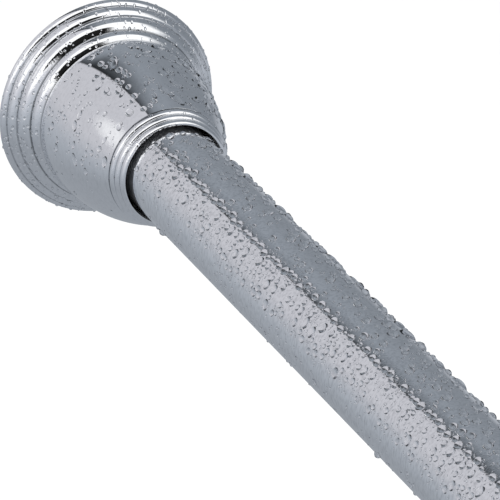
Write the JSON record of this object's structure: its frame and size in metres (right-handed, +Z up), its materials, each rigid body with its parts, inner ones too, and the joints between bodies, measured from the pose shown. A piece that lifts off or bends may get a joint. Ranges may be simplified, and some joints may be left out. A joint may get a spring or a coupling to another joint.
{
  "type": "extendable shower curtain rod",
  "caption": "Straight telescopic tension rod with bell-shaped end covers, wall pads, a twist lock and a spring; spans two walls and carries a shower curtain.",
  "frame": {"origin": "centre of the wall face of the outer tube's pad", "axes": "+X along the rod from the outer tube's wall to the inner tube's wall, +Z up"},
  "size_m": [1.118, 0.0602, 0.0602],
  "materials": {
    "outer_tube_chrome": "polished",
    "inner_tube_chrome": "polished",
    "flange_chrome": "polished",
    "pad_rubber": "matte",
    "foot_plastic": "moulded",
    "collar_plastic": "satin",
    "lock_plastic": "moulded",
    "lock_steel": "zinc plated",
    "spring_steel": "oiled wire",
    "ring_rubber": "matte"
  },
  "bodies": {
    "outer_tube": {"outer_tube": "outer_tube_chrome", "outer_foot": "foot_plastic", "outer_pad": "pad_rubber", "mouth_collar": "collar_plastic"},
    "outer_flange": {"outer_flange": "flange_chrome"},
    "grip_sleeve": {"grip_sleeve": "lock_plastic", "drag_ring": "ring_rubber"},
    "lock_cone": {"lock_cone": "lock_plastic"},
    "lock_spindle": {"lock_spindle": "lock_steel", "end_nut": "lock_steel", "thrust_washer": "lock_steel", "spring_washer": "lock_steel"},
    "inner_tube": {"inner_tube": "inner_tube_chrome", "guide_bush": "lock_plastic", "spring_seat": "lock_plastic", "push_spring": "spring_steel", "inner_foot": "foot_plastic", "inner_pad": "pad_rubber"},
    "inner_flange": {"inner_flange": "flange_chrome"}
  },
  "joints": [
    {"name": "extend", "type": "slide", "parent": "outer_tube", "child": "grip_sleeve", "axis": [1, 0, 0], "range_m": [0, 0.711]},
    {"name": "lock_twist", "type": "hinge", "parent": "grip_sleeve", "child": "lock_spindle", "pos_m": [0, 0, 0], "axis": [1, 0, 0], "range_deg": [0, 720]},
    {"name": "cone_draw", "type": "slide", "parent": "grip_sleeve", "child": "lock_cone", "axis": [-1, 0, 0], "range_m": [0, 0.0041]},
    {"name": "spring_push", "type": "slide", "parent": "lock_spindle", "child": "inner_tube", "axis": [-1, 0, 0], "range_m": [0, 0.025], "stiffness_N_per_m": 2200, "springref_m": -0.015, "deforming": ["push_spring"]},
    {"name": "outer_flange_slide", "type": "slide", "parent": "outer_tube", "child": "outer_flange", "axis": [1, 0, 0], "range_m": [0, 0.9]},
    {"name": "inner_flange_slide", "type": "slide", "parent": "inner_tube", "child": "inner_flange", "axis": [-1, 0, 0], "range_m": [0, 0.07]}
  ],
  "couplings": [
    {"joint": "cone_draw", "follows": "lock_twist", "m_per_rad": 0.00031831}
  ]
}
